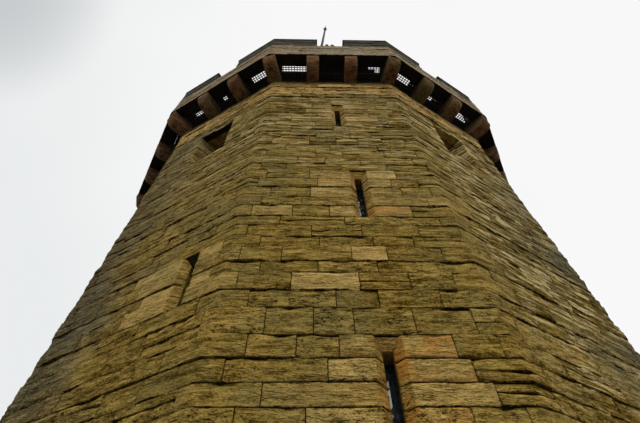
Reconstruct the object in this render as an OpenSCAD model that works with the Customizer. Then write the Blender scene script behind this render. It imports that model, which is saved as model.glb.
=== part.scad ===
// A twelve-sided castle keep. Thick walls with splayed loops rise from a battered plinth, and a
// crenellated parapet stands out on corbels, with the machicolation holes between them open
// under iron gratings. Millimetres, +Z up, origin on the ground at the middle of the tower.
// Face 0 looks towards -Y, and the faces are counted anticlockwise seen from above.

/* [Walls] */
// Width of one outside face of the tower
face_w = 3000; // [2700:10:3300]
// Thickness of the wall in the top storey
wall_t = 1700; // [1600:10:1900]
// Width of the ledge that carries each floor, where the wall gets thinner
ledge_w = 120; // [80:5:160]
// Height of the battered plinth
plinth_h = 900; // [700:10:1100]
// How far the plinth stands out at the ground
plinth_out = 250; // [150:10:350]
// Height of the paler band below the corbels
band_h = 960; // [850:10:1050]
// How far the band stands out from the wall
band_out = 15; // [10:1:40]

/* [Storeys] */
// Height of the ground storey, from the ground to the first floor
ground_storey_h = 3200; // [3100:10:3400]
// Height of the first storey, floor to floor
first_storey_h = 3250; // [3150:10:3350]
// Height of the second storey, floor to floor
second_storey_h = 3150; // [3050:10:3250]
// Height of the third storey, from its floor to the wall-walk and the roof
third_storey_h = 4750; // [4650:10:4850]
// Thickness of the floor boards
board_t = 50; // [40:5:60]
// Width of a floor beam
beam_w = 260; // [200:10:300]
// Height of a floor beam
beam_h = 300; // [240:10:340]
// Distance between the middles of two floor beams
beam_gap = 1150; // [1000:10:1300]
// Thickness of the roof flags and the wall-walk flags
flag_t = 120; // [80:5:140]
// Thickness of the paving of the ground floor
paving_t = 120; // [80:5:150]

/* [Loops] */
// Width of a loop's throat
throat_w = 110; // [80:5:140]
// Width of a loop's mouth in the outer face, across its chamfers
mouth_w = 310; // [240:10:400]
// Depth of the chamfer around the mouth
mouth_d = 70; // [50:5:120]
// How far the chamfered head of a loop slopes down to its throat
mouth_fall = 120; // [80:5:160]
// Width of a loop at the inner face of the wall
loop_inner_w = 700; // [500:10:900]
// How far the loops lie to the right of the middle of their face
loop_right = 270; // [150:10:300]
// How far the highest loop lies to the right of the middle of its face
high_loop_right = 60; // [0:10:120]
// Sill of the long loop above the first floor
low_loop_rise = 940; // [800:10:1100]
// Height of the long loop
low_loop_h = 1600; // [1400:10:1700]
// Sill of the next loop above the second floor
mid_loop_rise = 1310; // [1150:10:1450]
// Height of the loop in the second storey
mid_loop_h = 1310; // [1100:10:1400]
// Height of the highest loop, whose sill lines up with the windows
high_loop_h = 1220; // [1000:10:1400]
// Sill of the short loop in the front left face above the first floor
stair_loop_rise = 3150; // [3050:10:3300]
// Height of the short loop
stair_loop_h = 960; // [800:10:1050]
// How far the short loop lies to the right of the middle of its face
stair_loop_right = 830; // [700:10:900]

/* [Windows] */
// Height of the wall between the band and the heads of the windows
head_drop = 430; // [350:10:500]
// Width of a recessed window in the outer face
window_w = 1000; // [800:10:1100]
// Height of a recessed window
window_h = 1500; // [1300:10:1600]
// Depth of the recess in front of the window's throat
recess_d = 600; // [450:10:700]
// Width of the window's throat
window_throat_w = 560; // [400:10:650]
// Width of a window at the inner face of the wall
window_inner_w = 900; // [700:10:1000]

/* [Glazing] */
// Thickness of the leaded glass
glass_t = 8; // [6:1:12]
// How far the glass stands behind the throat
glass_back = 220; // [150:10:300]

/* [Doorway] */
// Clear width of the doorway
door_w = 1100; // [900:10:1200]
// Height of the doorway up to where its arch starts
door_spring_h = 1650; // [1500:10:1800]
// Width of the dressed stone around the doorway
surround_w = 260; // [180:10:320]

/* [Machicolation] */
// How far the parapet stands out from the wall
overhang = 600; // [500:10:700]
// Width of a corbel
corbel_w = 320; // [260:10:380]
// Height of a corbel
corbel_h = 420; // [380:10:520]
// Height of the upright nose of a corbel
corbel_nose_h = 130; // [100:10:180]
// Length of a corbel's tail inside the wall
corbel_tail = 400; // [300:10:600]
// Number of holes along one face
bays = 3; // [2:1:3]
// How far the flags of the wall-walk run out past the wall
walk_out = 130; // [80:10:180]
// Depth of a machicolation hole, from the edge of those flags to the parapet
hole_d = 180; // [140:10:240]
// Width of flag left between a hole and the corbels beside it
hole_edge = 15; // [10:5:40]
// Distance between the middles of two grating bars
bar_gap = 76; // [56:2:90]
// Number of bars across those bars
cross_bars = 2; // [1:1:3]
// Width of a grating bar
bar_w = 18; // [10:1:20]
// Height of a grating bar
bar_h = 30; // [20:5:40]
// Thickness of the oak boards laid over some of the holes
cover_t = 32; // [24:1:45]
// How far a board lies on the flags past the end of a hole
cover_over = 60; // [40:5:90]
// Gap between the two boards of a hole
cover_gap = 6; // [3:1:12]

/* [Parapet] */
// Height of the slab course that lies on the corbels
lip_h = 180; // [120:10:240]
// How far that course stands out from the parapet
lip_out = 20; // [10:5:40]
// Height of the crenel sills above the wall-walk
sill_h = 950; // [850:10:1100]
// Thickness of a crenel sill
sill_t = 90; // [60:5:120]
// Height of a merlon above the crenel sill, coping included
merlon_h = 690; // [500:10:800]
// Width of a crenel
crenel_w = 820; // [700:10:900]
// Thickness of the merlon copings
coping_t = 110; // [80:5:140]
// How far the copings stand out on each side
coping_out = 30; // [15:5:50]

/* [Pole] */
// Length of the bare pole in the front crenel, up to its knob
pole_l = 2800; // [2500:50:3000]
// Length of the thin tip above the knob
pole_tip_l = 620; // [400:10:700]
// Thickness of the pole at its foot
pole_d = 80; // [60:5:100]
// Thickness of the pole under its knob
pole_top_d = 56; // [40:2:70]
// How far the pole leans to the right, in degrees
pole_lean = 3.5; // [2:0.5:6]
// How far the pole stands to the left of the middle of the crenel
pole_left = 265; // [200:5:300]
// Distance from the parapet's outer face to the middle of the pole
pole_in = 75; // [72:1:100]
// Width of the round foot of the pole
pole_foot_d = 140; // [110:10:160]
// Width of the two broken stones left on the crenel sill
lump_w = 130; // [90:10:160]
// Height of those stones
lump_h = 260; // [180:10:320]
// Thickness of those stones
lump_t = 110; // [80:10:140]
// Gap between the pole's foot and the first stone, and between the two stones
lump_gap = 25; // [10:5:40]

/* [Hidden] */
sides = 12;
turn = 360 / sides;
half_turn = turn / 2;
through = 1;
wall_r = face_w / 2 / tan(half_turn);
parapet_r = wall_r + overhang;
hole_in_r = wall_r + walk_out;
parapet_in_r = hole_in_r + hole_d;
sector_r = wall_r + 3 * overhang;
inner_3_r = wall_r - wall_t;
inner_2_r = inner_3_r - ledge_w;
inner_1_r = inner_2_r - ledge_w;
inner_0_r = inner_1_r - ledge_w;
roof_r = inner_3_r + ledge_w;
floor_1_z = ground_storey_h;
floor_2_z = floor_1_z + first_storey_h;
floor_3_z = floor_2_z + second_storey_h;
walk_z = floor_3_z + third_storey_h;
walk_under = walk_z - flag_t;
corbel_root = walk_under - corbel_h;
band_z = corbel_root - band_h;
low_loop_z = floor_1_z + low_loop_rise;
mid_loop_z = floor_2_z + mid_loop_rise;
stair_loop_z = floor_1_z + stair_loop_rise;
window_z = band_z - head_drop - window_h;
high_loop_z = window_z;
lip_top = walk_under + lip_h;
sill_top = walk_z + sill_h;
sill_under = sill_top - sill_t;
merlon_top = sill_top + merlon_h;
coping_z = merlon_top - coping_t;
ledge_drop = board_t + beam_h;
bay_w = face_w / bays;
hole_w = bay_w - corbel_w - 2 * hole_edge;
hole_mid_r = (hole_in_r + parapet_in_r) / 2;
lump_x = pole_foot_d / 2 + lump_gap + lump_w / 2 - pole_left;

// Boards over the holes of three faces: face beside the middle one, bay, row, and the two ends
// in half widths of the hole. Row 0 is the inner one, and an end at 1 or -1 bears on a flag.
group_covers = [
    [0, 1, 0, -1, 1], [0, 1, 1, -1, 1],
    [0, 2, 0, -1, 0.6], [0, 2, 1, -1, 0],
    [1, 0, 0, 0.5, 1], [1, 0, 1, 0.5, 1],
    [1, 1, 0, 0.1, 1], [1, 1, 1, -1, 1],
    [-1, 2, 0, -1, -0.4], [-1, 2, 1, -1, -0.4],
    [-1, 1, 0, -1, -0.45], [-1, 1, 0, -0.1, 1], [-1, 1, 1, -1, 1],
    [-1, 0, 0, -1, -0.4], [-1, 0, 1, -1, 1],
];
// The same for the whole tower, with one more hole covered at the left edge of the view
covers = concat(
    [for (middle = [0 : 3 : sides - 1]) for (c = group_covers)
        [middle + c[0], c[1], c[2], c[3], c[4]]],
    [[10, 2, 0, -1, 1], [10, 2, 1, -1, 1]]
);

// One opening: face, place to the right, sill, height, mouth width, throat width, depth of the
// mouth, inner width, fall of the head
function loop(face, right, sill, h) =
    [face, right, sill, h, mouth_w, throat_w, mouth_d, loop_inner_w, mouth_fall];
function window(face) =
    [face, 0, window_z, window_h, window_w, window_throat_w, recess_d, window_inner_w, 0];

loop_faces = [0, 3, 6, 9];
window_faces = [1, 2, 4, 5, 7, 8, 10, 11];
loops = concat(
    [for (k = loop_faces) loop(k, loop_right, low_loop_z, low_loop_h)],
    [for (k = loop_faces) loop(k, loop_right, mid_loop_z, mid_loop_h)],
    [for (k = loop_faces) loop(k, high_loop_right, high_loop_z, high_loop_h)],
    [loop(11, stair_loop_right, stair_loop_z, stair_loop_h)]
);
windows = [for (k = window_faces) window(k)];
door_face = 6;

// Places its children on a face: they are made for face 0
module at_face(face) {
    rotate([0, 0, face * turn])
        children();
}

// Flat outline of the tower at this distance from the middle to a face
module outline(apothem) {
    rotate(half_turn)
        circle(r = apothem / cos(half_turn), $fn = sides);
}

// Slab of that outline between two levels
module slab(apothem, low, high) {
    translate([0, 0, low])
        linear_extrude(high - low)
            outline(apothem);
}

// Upright ring between two distances from the middle and two levels
module ring(inner, outer, low, high) {
    translate([0, 0, low])
        linear_extrude(high - low)
            difference() {
                outline(outer);
                outline(inner);
            }
}

// Everything that belongs to face 0, between the planes through its two corners
module sector(low, high) {
    corner = sector_r * tan(half_turn);
    translate([0, 0, low])
        linear_extrude(high - low)
            polygon([[0, 0], [-corner, -sector_r], [corner, -sector_r]]);
}

// Box on face 0, between two distances from the middle and two levels
module face_box(width, near, far, low, high) {
    translate([-width / 2, -far, low])
        cube([width, far - near, high - low]);
}

// An outline of [distance from the middle, height], run along face 0
module run(length) {
    rotate([90, 0, -90])
        linear_extrude(length, center = true)
            children();
}

// The hole of a loop or window: a splayed mouth, a narrow throat and a wide inner splay
module opening_hole(item) {
    mouth = item[4] / 2;
    throat = item[5] / 2;
    inner = item[7] / 2;
    mouth_y = -wall_r;
    throat_y = mouth_y + item[6];
    inner_y = -inner_0_r;
    head = item[3];
    low_head = head - item[8];
    at_face(item[0])
        translate([item[1], 0, item[2]])
            intersection() {
                linear_extrude(head)
                    polygon([
                        [-mouth, mouth_y - through], [mouth, mouth_y - through],
                        [throat, throat_y], [inner, inner_y + through],
                        [-inner, inner_y + through], [-throat, throat_y],
                    ]);
                rotate([90, 0, 90])
                    linear_extrude(2 * (mouth + inner), center = true)
                        polygon([
                            [mouth_y - through, 0], [inner_y + through, 0],
                            [inner_y + through, low_head], [throat_y, low_head],
                            [mouth_y, head], [mouth_y - through, head],
                        ]);
            }
}

// The pane that closes such a hole, a little behind its throat
module pane(item) {
    back = wall_r - item[6] - glass_back;
    intersection() {
        opening_hole(item);
        at_face(item[0])
            face_box(face_w, back - glass_t, back, 0, walk_z);
    }
}

// Front outline of the doorway, grown by this much
module door_shape(grow) {
    translate([-door_w / 2 - grow, 0])
        square([door_w + 2 * grow, door_spring_h]);
    translate([0, door_spring_h])
        circle(r = door_w / 2 + grow, $fn = 64);
}

// That outline run outwards through the wall between two distances from the middle
module door_run(grow, near, far) {
    at_face(door_face)
        translate([0, -near, 0])
            rotate([90, 0, 0])
                linear_extrude(far - near)
                    door_shape(grow);
}

// The hole of the doorway from the ground up
module door_hole(grow, near) {
    door_run(grow, near, sector_r);
    at_face(door_face)
        face_box(door_w + 2 * grow, near, sector_r, -through, through);
}

// The battered foot of the walls
module plinth() {
    color([0.42, 0.36, 0.21])
        difference() {
            rotate(half_turn)
                cylinder(
                    h = plinth_h,
                    r1 = (wall_r + plinth_out) / cos(half_turn),
                    r2 = wall_r / cos(half_turn),
                    $fn = sides
                );
            slab(inner_0_r, -through, plinth_h + through);
            door_hole(0, 0);
            door_hole(surround_w, wall_r);
        }
}

// The wall of one face from the plinth to the band, thinner above each floor
module wall(face) {
    ledge_1 = floor_1_z - ledge_drop;
    ledge_2 = floor_2_z - ledge_drop;
    ledge_3 = floor_3_z - ledge_drop;
    color([0.50, 0.42, 0.23])
        difference() {
            at_face(face)
                intersection() {
                    run(2 * face_w)
                        polygon([
                            [wall_r, plinth_h], [wall_r, band_z],
                            [inner_3_r, band_z], [inner_3_r, ledge_3],
                            [inner_2_r, ledge_3], [inner_2_r, ledge_2],
                            [inner_1_r, ledge_2], [inner_1_r, ledge_1],
                            [inner_0_r, ledge_1], [inner_0_r, plinth_h],
                        ]);
                    sector(0, walk_z);
                }
            for (item = concat(loops, windows))
                if (item[0] == face)
                    opening_hole(item);
            if (face == door_face)
                door_hole(0, 0);
        }
}

module front_wall() {
    wall(0);
}

module front_right_wall() {
    wall(1);
}

module right_front_wall() {
    wall(2);
}

module right_wall() {
    wall(3);
}

module right_back_wall() {
    wall(4);
}

module back_right_wall() {
    wall(5);
}

module back_wall() {
    wall(6);
}

module back_left_wall() {
    wall(7);
}

module left_back_wall() {
    wall(8);
}

module left_wall() {
    wall(9);
}

module left_front_wall() {
    wall(10);
}

module front_left_wall() {
    wall(11);
}

// The paler courses that stand out a little under the corbels
module band_course() {
    color([0.58, 0.49, 0.28])
        ring(inner_3_r, wall_r + band_out, band_z, corbel_root);
}

// Side outline of a corbel whose wall face is at this distance: tail, upright nose, round below
module corbel_outline(face_r) {
    round_r = corbel_h - corbel_nose_h;
    translate([face_r, corbel_root])
        difference() {
            translate([-corbel_tail, 0])
                square([corbel_tail + overhang, corbel_h]);
            translate([overhang - round_r, -through])
                difference() {
                    square([round_r + through, round_r + through]);
                    translate([0, round_r + through])
                        circle(r = round_r, $fn = 96);
                }
        }
}

// The corbels of one face: one on its left corner, and the others between its bays
module face_corbels(face) {
    rotate([0, 0, (face - 0.5) * turn])
        run(corbel_w)
            corbel_outline(wall_r / cos(half_turn));
    for (i = [1 : bays - 1])
        at_face(face)
            translate([(i - bays / 2) * bay_w, 0, 0])
                run(corbel_w)
                    corbel_outline(wall_r);
}

// The corbels of three faces in a row
module corbels(first_face) {
    color([0.42, 0.27, 0.18])
        for (i = [0 : 2])
            face_corbels(first_face + i);
}

module front_corbels() {
    corbels(-1);
}

module right_corbels() {
    corbels(2);
}

module back_corbels() {
    corbels(5);
}

module left_corbels() {
    corbels(8);
}

// The courses behind the corbels, with a pocket for each corbel's tail and a ledge for the roof
module wall_head() {
    color([0.44, 0.37, 0.21])
        difference() {
            ring(inner_3_r, wall_r, corbel_root, walk_under);
            slab(roof_r, walk_under - beam_h, walk_under + through);
            for (face = [0 : sides - 1])
                face_corbels(face);
        }
}

// The flags of the ground floor, run out through the doorway as its threshold
module ground_paving() {
    color([0.40, 0.37, 0.31]) {
        slab(inner_0_r, 0, paving_t);
        at_face(door_face)
            face_box(door_w, 0, wall_r + plinth_out, 0, paving_t);
    }
}

// The dressed stone around the doorway, flush with the foot of the plinth
module door_surround() {
    color([0.48, 0.38, 0.24])
        difference() {
            door_run(surround_w, wall_r, wall_r + plinth_out);
            door_hole(0, 0);
        }
}

// Beams side by side from ledge to ledge, inside this outline and under this level
module beams(apothem, top) {
    count = floor((apothem - beam_w) / beam_gap);
    color([0.30, 0.22, 0.14])
        intersection() {
            slab(apothem, top - beam_h, top);
            union()
                for (i = [-count : count])
                    translate([-sector_r, i * beam_gap - beam_w / 2, top - beam_h])
                        cube([2 * sector_r, beam_w, beam_h]);
        }
}

module first_floor_beams() {
    beams(inner_1_r, floor_1_z - board_t);
}

module second_floor_beams() {
    beams(inner_2_r, floor_2_z - board_t);
}

module third_floor_beams() {
    beams(inner_3_r, floor_3_z - board_t);
}

module roof_beams() {
    beams(roof_r, walk_under);
}

// The boards of a floor, wall to wall on its beams
module boards(apothem, top) {
    color([0.36, 0.27, 0.17])
        slab(apothem, top - board_t, top);
}

module first_floor_boards() {
    boards(inner_1_r, floor_1_z);
}

module second_floor_boards() {
    boards(inner_2_r, floor_2_z);
}

module third_floor_boards() {
    boards(inner_3_r, floor_3_z);
}

// The stone flags of the roof inside the wall-walk
module roof_flags() {
    color([0.38, 0.36, 0.31])
        slab(roof_r, walk_under, walk_z);
}

// One machicolation hole as a box from the edge of the flags out to this distance
module hole_box(bay, outer, low, high) {
    translate([(bay - (bays - 1) / 2) * bay_w, 0, 0])
        face_box(hole_w, hole_in_r, outer, low, high);
}

// The flags on the wall top, run out to the parapet over the corbels
module wall_walk() {
    color([0.40, 0.38, 0.32])
        difference() {
            ring(roof_r, parapet_in_r, walk_under, walk_z);
            for (face = [0 : sides - 1])
                for (bay = [0 : bays - 1])
                    at_face(face)
                        hole_box(bay, parapet_in_r + through, walk_under - through, walk_z + through);
        }
}

// The slab course that lies on the corbels
module parapet_lip() {
    color([0.45, 0.40, 0.27])
        ring(parapet_in_r, parapet_r + lip_out, walk_under, lip_top);
}

// The breast wall of the parapet up to its sills
module parapet_wall() {
    color([0.38, 0.34, 0.23])
        ring(parapet_in_r, parapet_r, lip_top, sill_under);
}

// The crenels of all faces as boxes of this width
module crenels(width, low, high) {
    for (face = [0 : sides - 1])
        at_face(face)
            face_box(width, 0, sector_r, low, high);
}

// The slab at the foot of each crenel
module crenel_sills() {
    color([0.36, 0.33, 0.24])
        intersection() {
            ring(parapet_in_r, parapet_r, sill_under, sill_top);
            crenels(crenel_w, sill_under, sill_top);
        }
}

// The merlons, each bent around a corner of the tower
module merlons() {
    color([0.33, 0.30, 0.21])
        difference() {
            ring(parapet_in_r, parapet_r, sill_under, coping_z);
            crenels(crenel_w, sill_under - through, coping_z + through);
        }
}

// The copings on the merlons
module merlon_copings() {
    color([0.14, 0.13, 0.11])
        difference() {
            ring(parapet_in_r - coping_out, parapet_r + coping_out, coping_z, merlon_top);
            crenels(crenel_w - 2 * coping_out, coping_z - through, merlon_top + through);
        }
}

// One iron grating that fills a machicolation hole, flush with the wall-walk
module grating(bay) {
    low = walk_z - bar_h;
    count = floor(hole_w / bar_gap / 2);
    intersection() {
        hole_box(bay, parapet_in_r, low, walk_z);
        translate([(bay - (bays - 1) / 2) * bay_w, 0, 0])
            union() {
                for (i = [-count : count])
                    translate([i * bar_gap, 0, 0])
                        face_box(bar_w, hole_in_r, parapet_in_r, low, walk_z);
                for (i = [0 : cross_bars + 1]) {
                    near = hole_in_r + i * (hole_d - bar_w) / (cross_bars + 1);
                    face_box(hole_w, near, near + bar_w, low, walk_z);
                }
            }
    }
}

// The gratings of three faces in a row
module gratings(first_face) {
    color([0.20, 0.20, 0.20])
        for (i = [0 : 2])
            for (bay = [0 : bays - 1])
                at_face(first_face + i)
                    grating(bay);
}

module front_gratings() {
    gratings(-1);
}

module right_gratings() {
    gratings(2);
}

module back_gratings() {
    gratings(5);
}

module left_gratings() {
    gratings(8);
}

// Where a board ends, from the middle of its hole
function cover_end(share) =
    share * hole_w / 2 + (abs(share) == 1 ? share * cover_over : 0);

// The oak boards that lie over parts of the holes, on the flags and the gratings
module hole_boards() {
    color([0.24, 0.18, 0.11])
        for (c = covers)
            at_face(c[0]) {
                from = cover_end(c[3]);
                to = cover_end(c[4]);
                near = c[2] == 0 ? hole_in_r - cover_over : hole_mid_r + cover_gap / 2;
                far = c[2] == 0 ? hole_mid_r - cover_gap / 2 : parapet_in_r - cover_gap;
                translate([(c[1] - (bays - 1) / 2) * bay_w + (from + to) / 2, 0, 0])
                    face_box(to - from, near, far, walk_z, walk_z + cover_t);
            }
}

// The panes of the loops
module loop_glass() {
    color([0.55, 0.62, 0.62])
        for (item = loops)
            pane(item);
}

// The panes of the recessed windows
module window_glass() {
    color([0.55, 0.62, 0.62])
        for (item = windows)
            pane(item);
}

// A bare leaning pole on the sill of the front crenel, with a round foot, a knob and a thin tip
module crenel_pole() {
    color([0.10, 0.10, 0.10])
        translate([-pole_left, pole_in - parapet_r, sill_top]) {
            cylinder(h = pole_d, d = pole_foot_d, $fn = 32);
            rotate([0, pole_lean, 0]) {
                translate([0, 0, pole_d / 2])
                    cylinder(h = pole_l - pole_d / 2, d1 = pole_d, d2 = pole_top_d, $fn = 24);
                translate([0, 0, pole_l])
                    sphere(d = 2 * pole_top_d, $fn = 32);
                translate([0, 0, pole_l])
                    cylinder(h = pole_tip_l, d1 = pole_top_d / 2, d2 = pole_top_d / 4, $fn = 16);
            }
        }
}

// Two broken stones left standing at the outer edge of the same sill
module sill_stones() {
    color([0.30, 0.27, 0.19])
        for (i = [0, 1])
            translate([lump_x + i * (lump_w + lump_gap), lump_t - parapet_r, sill_top])
                rotate([90, 0, 0])
                    linear_extrude(lump_t)
                        polygon([[-lump_w / 2, 0], [lump_w / 2, 0], [lump_w / 3, lump_h / 2],
                                 [lump_w / 12, lump_h - i * lump_w / 3], [-lump_w / 3, lump_h / 2]]);
}

plinth();
front_wall();
front_right_wall();
right_front_wall();
right_wall();
right_back_wall();
back_right_wall();
back_wall();
back_left_wall();
left_back_wall();
left_wall();
left_front_wall();
front_left_wall();
band_course();
wall_head();
ground_paving();
door_surround();
first_floor_beams();
first_floor_boards();
second_floor_beams();
second_floor_boards();
third_floor_beams();
third_floor_boards();
roof_beams();
roof_flags();
wall_walk();
front_corbels();
right_corbels();
back_corbels();
left_corbels();
parapet_lip();
parapet_wall();
crenel_sills();
merlons();
merlon_copings();
front_gratings();
right_gratings();
back_gratings();
left_gratings();
hole_boards();
loop_glass();
window_glass();
crenel_pole();
sill_stones();
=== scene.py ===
import math
import random

import bpy
import numpy as np
from mathutils import Matrix, Vector


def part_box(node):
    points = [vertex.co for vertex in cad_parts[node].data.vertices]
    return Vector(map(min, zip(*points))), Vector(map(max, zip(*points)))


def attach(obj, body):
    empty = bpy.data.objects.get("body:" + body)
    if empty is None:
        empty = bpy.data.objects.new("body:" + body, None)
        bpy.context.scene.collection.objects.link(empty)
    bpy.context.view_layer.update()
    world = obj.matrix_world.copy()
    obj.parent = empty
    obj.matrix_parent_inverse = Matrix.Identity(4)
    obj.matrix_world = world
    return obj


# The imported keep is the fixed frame: twelve wall pieces, floors, corbels and parapet in metres,
# with the origin on the ground at the middle of the tower and the front face towards -Y.
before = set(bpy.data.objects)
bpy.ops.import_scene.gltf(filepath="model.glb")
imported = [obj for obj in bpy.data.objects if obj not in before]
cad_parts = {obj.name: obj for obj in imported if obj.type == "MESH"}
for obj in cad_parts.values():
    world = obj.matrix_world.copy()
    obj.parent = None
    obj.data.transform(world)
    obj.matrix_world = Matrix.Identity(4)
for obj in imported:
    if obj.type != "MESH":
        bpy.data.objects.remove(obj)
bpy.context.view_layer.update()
scene = bpy.context.scene
scene.view_settings.view_transform = "Standard"

# The camera stands 3.3 m in front of the front face, 3.2 m above the tower's foot, and looks
# steeply up. Its turn, tilt and lens come from the corners of the three faces in the photograph.
eye = Vector((-0.478, -8.901, 3.2))
look_up = math.radians(54.91)
look_right = math.radians(1.89)
lean_left = math.radians(-1.06)
lens_mm = 22.5
level = Vector((math.cos(look_right), -math.sin(look_right), 0))
ahead = Vector((
    math.sin(look_right) * math.cos(look_up),
    math.cos(look_right) * math.cos(look_up),
    math.sin(look_up),
))
over = level.cross(ahead)
across = level * math.cos(lean_left) + over * math.sin(lean_left)
upward = over * math.cos(lean_left) - level * math.sin(lean_left)
camera_data = bpy.data.cameras.new("camera")
camera_data.sensor_fit = "HORIZONTAL"
camera_data.sensor_width = 36
camera_data.lens = lens_mm
camera_data.clip_end = 200
camera = bpy.data.objects.new("camera", camera_data)
axes = Matrix((across, upward, -ahead)).transposed().to_4x4()
camera.matrix_world = Matrix.Translation(eye) @ axes
scene.collection.objects.link(camera)
scene.camera = camera

# The ground and an overcast sky: a plain floor, a sky that lights from above and a broad soft
# sun. The camera, gloss and glass see near-white cloud, which is greyer towards the upper left.
floor_size = 60
floor_drop = 0.002
floor_colour = (0.14, 0.135, 0.12, 1)
cloud_bright = (0.940, 0.940, 0.940, 1)
cloud_grey = (0.820, 0.840, 0.845, 1)
cloud_dark = (0.56, 0.585, 0.600, 1)
sky_light = (0.93, 0.96, 1.0, 1)
ground_light = (0.05, 0.045, 0.035, 1)
sky_strength = 1.9
sun_strength = 1.2
sun_colour = (1.0, 0.96, 0.88)
sun_spread = math.radians(60)
sun_tilt = (math.radians(48), 0, math.radians(34))
half = floor_size / 2
floor_mesh = bpy.data.meshes.new("floor")
floor_mesh.from_pydata([(-half, -half, 0), (half, -half, 0), (half, half, 0), (-half, half, 0)],
                       [], [(0, 1, 2, 3)])
floor = bpy.data.objects.new("floor", floor_mesh)
floor.location.z = -floor_drop
scene.collection.objects.link(floor)
floor_material = bpy.data.materials.new("plain floor")
floor_material.use_nodes = True
floor_shader = floor_material.node_tree.nodes["Principled BSDF"]
floor_shader.inputs["Base Color"].default_value = floor_colour
floor_shader.inputs["Roughness"].default_value = 0.9
floor_mesh.materials.append(floor_material)


class Wiring:
    """Adds nodes to one tree, and gives each input a plain value or another node's output."""

    def __init__(self, tree):
        self.tree = tree

    def give(self, socket, value):
        """Links an output to this input, or sets the input's own value."""
        if isinstance(value, bpy.types.NodeSocket):
            self.tree.links.new(value, socket)
        else:
            socket.default_value = value

    def add(self, kind, inputs=None, **modes):
        """A new node with these modes, and with its inputs given by name or by number."""
        node = self.tree.nodes.new(kind)
        for mode, value in modes.items():
            setattr(node, mode, value)
        for key, value in (inputs or {}).items():
            self.give(node.inputs[key], value)
        return node

    def math(self, kind, *values, clamp=False):
        """The result of a sum on one or two numbers."""
        return self.add("ShaderNodeMath", dict(enumerate(values)), operation=kind,
                        use_clamp=clamp).outputs[0]

    def plus(self, a, b):
        return self.math("ADD", a, b)

    def minus(self, a, b):
        return self.math("SUBTRACT", a, b)

    def times(self, a, b):
        return self.math("MULTIPLY", a, b)

    def most(self, a, b):
        return self.math("MAXIMUM", a, b)

    def ramp(self, value, low, high, to_low=0.0, to_high=1.0, kind="SMOOTHSTEP"):
        """A value that goes from to_low to to_high while the given one goes from low to high."""
        inputs = {"Value": value, "From Min": low, "From Max": high, "To Min": to_low,
                  "To Max": to_high}
        return self.add("ShaderNodeMapRange", inputs, interpolation_type=kind).outputs[0]

    def mix(self, factor, a, b, kind="MIX"):
        """The colour between two others, or with the second laid on the first."""
        return self.add("ShaderNodeMix", {"Factor": factor, "A": a, "B": b}, data_type="RGBA",
                        blend_type=kind).outputs["Result"]

    def split(self, vector):
        """The X, Y and Z of a vector."""
        return self.add("ShaderNodeSeparateXYZ", {0: vector}).outputs


world = bpy.data.worlds.new("overcast")
world.use_nodes = True
world.node_tree.nodes.clear()
scene.world = world
sky = Wiring(world.node_tree)
direction = sky.add("ShaderNodeTexCoord").outputs["Generated"]


def near_place(right, up):
    """How near a direction of the sky is to this place in the picture, seen from its middle."""
    aim = (ahead + right * across + up * upward).normalized()
    return sky.add("ShaderNodeVectorMath", {0: direction, 1: aim},
                   operation="DOT_PRODUCT").outputs["Value"]


rise = sky.ramp(sky.split(direction)["Z"], -0.15, 0.25, kind="LINEAR")
lighting = sky.add("ShaderNodeBackground", {"Color": sky.mix(rise, ground_light, sky_light),
                                            "Strength": sky_strength})
cloud = sky.add("ShaderNodeTexNoise", {"Vector": direction, "Scale": 2.2, "Detail": 3}).outputs[0]
cover = sky.ramp(near_place(0.42, 0.1), 0.88, 0.44, -0.5, 0.5)
tint = sky.mix(sky.math("ADD", cloud, cover, clamp=True), cloud_bright, cloud_grey)
gather = sky.ramp(near_place(-0.95, 0.68), 0.960, 1.0)
seen = sky.add("ShaderNodeBackground", {"Color": sky.mix(gather, tint, cloud_dark)})
rays = sky.add("ShaderNodeLightPath").outputs
direct = sky.most(sky.most(rays["Is Camera Ray"], rays["Is Glossy Ray"]),
                  rays["Is Transmission Ray"])
choose = sky.add("ShaderNodeMixShader", {0: direct, 1: lighting.outputs[0], 2: seen.outputs[0]})
sky.add("ShaderNodeOutputWorld", {"Surface": choose.outputs[0]})

sun_data = bpy.data.lights.new("sun", "SUN")
sun_data.energy = sun_strength
sun_data.angle = sun_spread
sun_data.color = sun_colour
sun = bpy.data.objects.new("sun", sun_data)
sun.rotation_euler = sun_tilt
scene.collection.objects.link(sun)

# The walls are coursed blocks of bedded yellow-brown sandstone, laid in courses of uneven height
# around all twelve sides. Each block is its own worn mesh, proud of the wall that carries it, and
# bends around the tower's corners and into the splayed mouths of the loops.
sides = 12
turn = 2 * math.pi / sides
wall_r = -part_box("front_wall")[0].y
plinth_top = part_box("front_wall")[0].z
band_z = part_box("front_wall")[1].z
# How the stones are laid: courses, joints and lengths, and what the joints keep clear of
course_h = 0.26
wave_h = 0.0035
joint_w = 0.009
stone_short = 0.40
stone_long = 0.95
thin_bed_share = 0.24
thin_bed_from = 0.2
bend_clear = 0.13
joint_clear = 0.1
joint_tries = 12
far = 9
# The face of a stone: its mesh, how far it stands out, and how its edges and face are dressed
cell_along = 0.130
cell_up = 0.027
rim = 0.012
stone_out = 0.032
stone_out_spread = 0.009
course_out_share = 0.30
arris_d = 0.004
edge_waves = (6, 14, 27)
edge_wave_h = 0.002
face_lean = 0.004
face_dip = 0.003
face_swell = 0.002
sunk = 0.004
# How deep weather goes, measured from the wall behind, and how near a joint it is darker
worn_back_to = 0.003
eaten_back_to = -0.006
joint_near = 0.05
dressed_wear = 0.3
# How far a stone is rounded at the tower's corners and at the mouths of its openings
corner_soft = 0.024
mouth_soft = 0.005
mouth_reach = 0.12
in_splay = 0.15
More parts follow.
